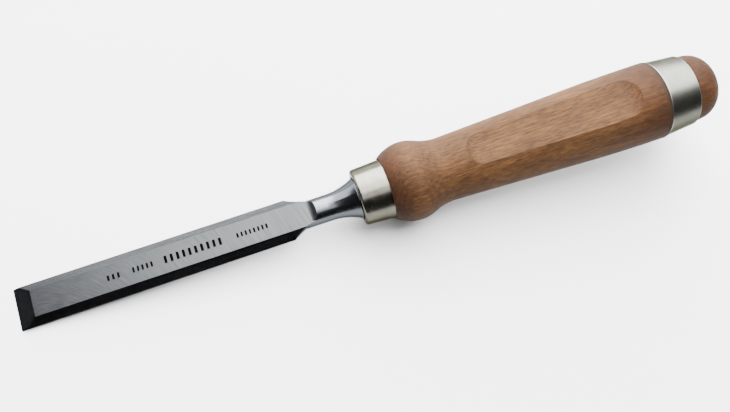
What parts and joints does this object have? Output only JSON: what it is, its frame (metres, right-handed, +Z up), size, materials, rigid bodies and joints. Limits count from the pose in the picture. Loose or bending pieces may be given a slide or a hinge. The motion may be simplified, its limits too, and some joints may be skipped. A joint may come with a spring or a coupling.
{
  "type": "bench chisel",
  "caption": "Bevel-edged bench chisel: forged blade with a round neck and tang, turned wooden handle with milled flats, plated ferrule and butt hoop.",
  "frame": {"origin": "under the middle of the tool's length, on the surface that it rests on with its cutting edge and the front bulb of its handle", "axes": "+X towards the butt, level, with the tool's own axis rising from it by 5.83 degrees; +Z up with the bevelled side of the blade facing up; +Y across the blade"},
  "size_m": [0.276, 0.0308, 0.0409],
  "materials": {
    "blade_steel": "hardened steel, ground faces, polished neck",
    "ferrule_plate": "bright nickel plate, polished",
    "handle_wood": "lacquered open-pored hardwood, satin",
    "hoop_plate": "nickel plate, satin"
  },
  "bodies": {
    "root": {"blade": "blade_steel", "ferrule": "ferrule_plate", "handle": "handle_wood", "hoop": "hoop_plate"}
  },
  "joints": []
}
